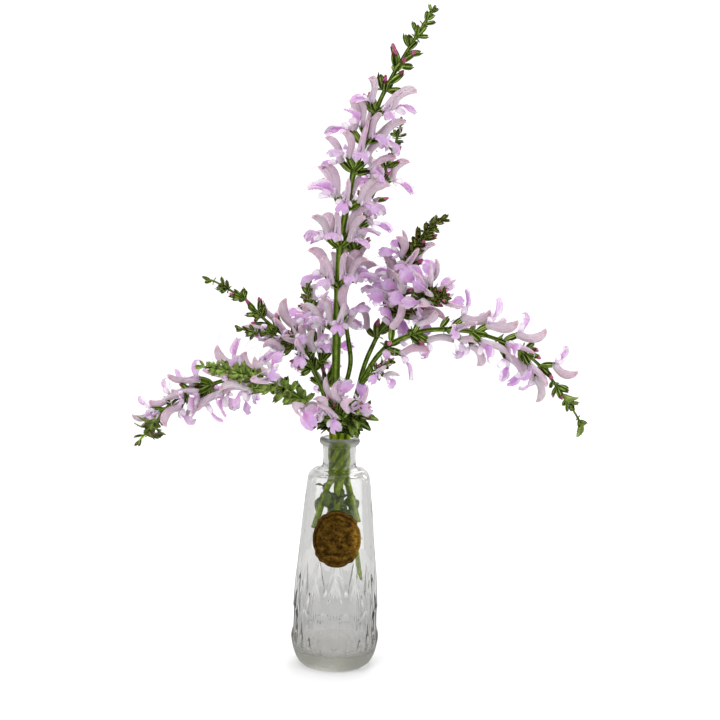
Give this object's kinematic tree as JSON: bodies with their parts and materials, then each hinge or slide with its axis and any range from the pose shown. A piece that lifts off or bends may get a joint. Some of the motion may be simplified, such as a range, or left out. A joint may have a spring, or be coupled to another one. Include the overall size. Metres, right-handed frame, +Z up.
{
  "type": "cut salvia stems in a small glass bottle",
  "caption": "Cut flowering salvia stems fanning out of the narrow neck of a small pressed-glass bottle with a round bronze seal, standing on its flat base.",
  "frame": {"origin": "centre of the bottle's flat base, on the surface that it stands on", "axes": "+Z up along the bottle's axis; -Y towards the front, where the seal is; +X to the right seen from the front"},
  "size_m": [0.3164, 0.1535, 0.4648],
  "materials": {
    "clear_glass": "polished pressed glass with fine seeds, slightly grey",
    "aged_bronze": "cast, hammered and darkened with age",
    "salvia_green": "fresh green stems and calyces, ribbed and softly hairy",
    "salvia_petal": "thin lilac-pink petals with darker veins"
  },
  "bodies": {
    "root": {"glass_bottle": "clear_glass", "bottle_seal": "aged_bronze", "stem_tall": "salvia_green", "stem_right_arching": "salvia_green", "stem_right_upright": "salvia_green", "stem_back": "salvia_green", "stem_left_upper": "salvia_green", "stem_left_arching": "salvia_green", "stem_mouth": "salvia_green"}
  },
  "joints": []
}
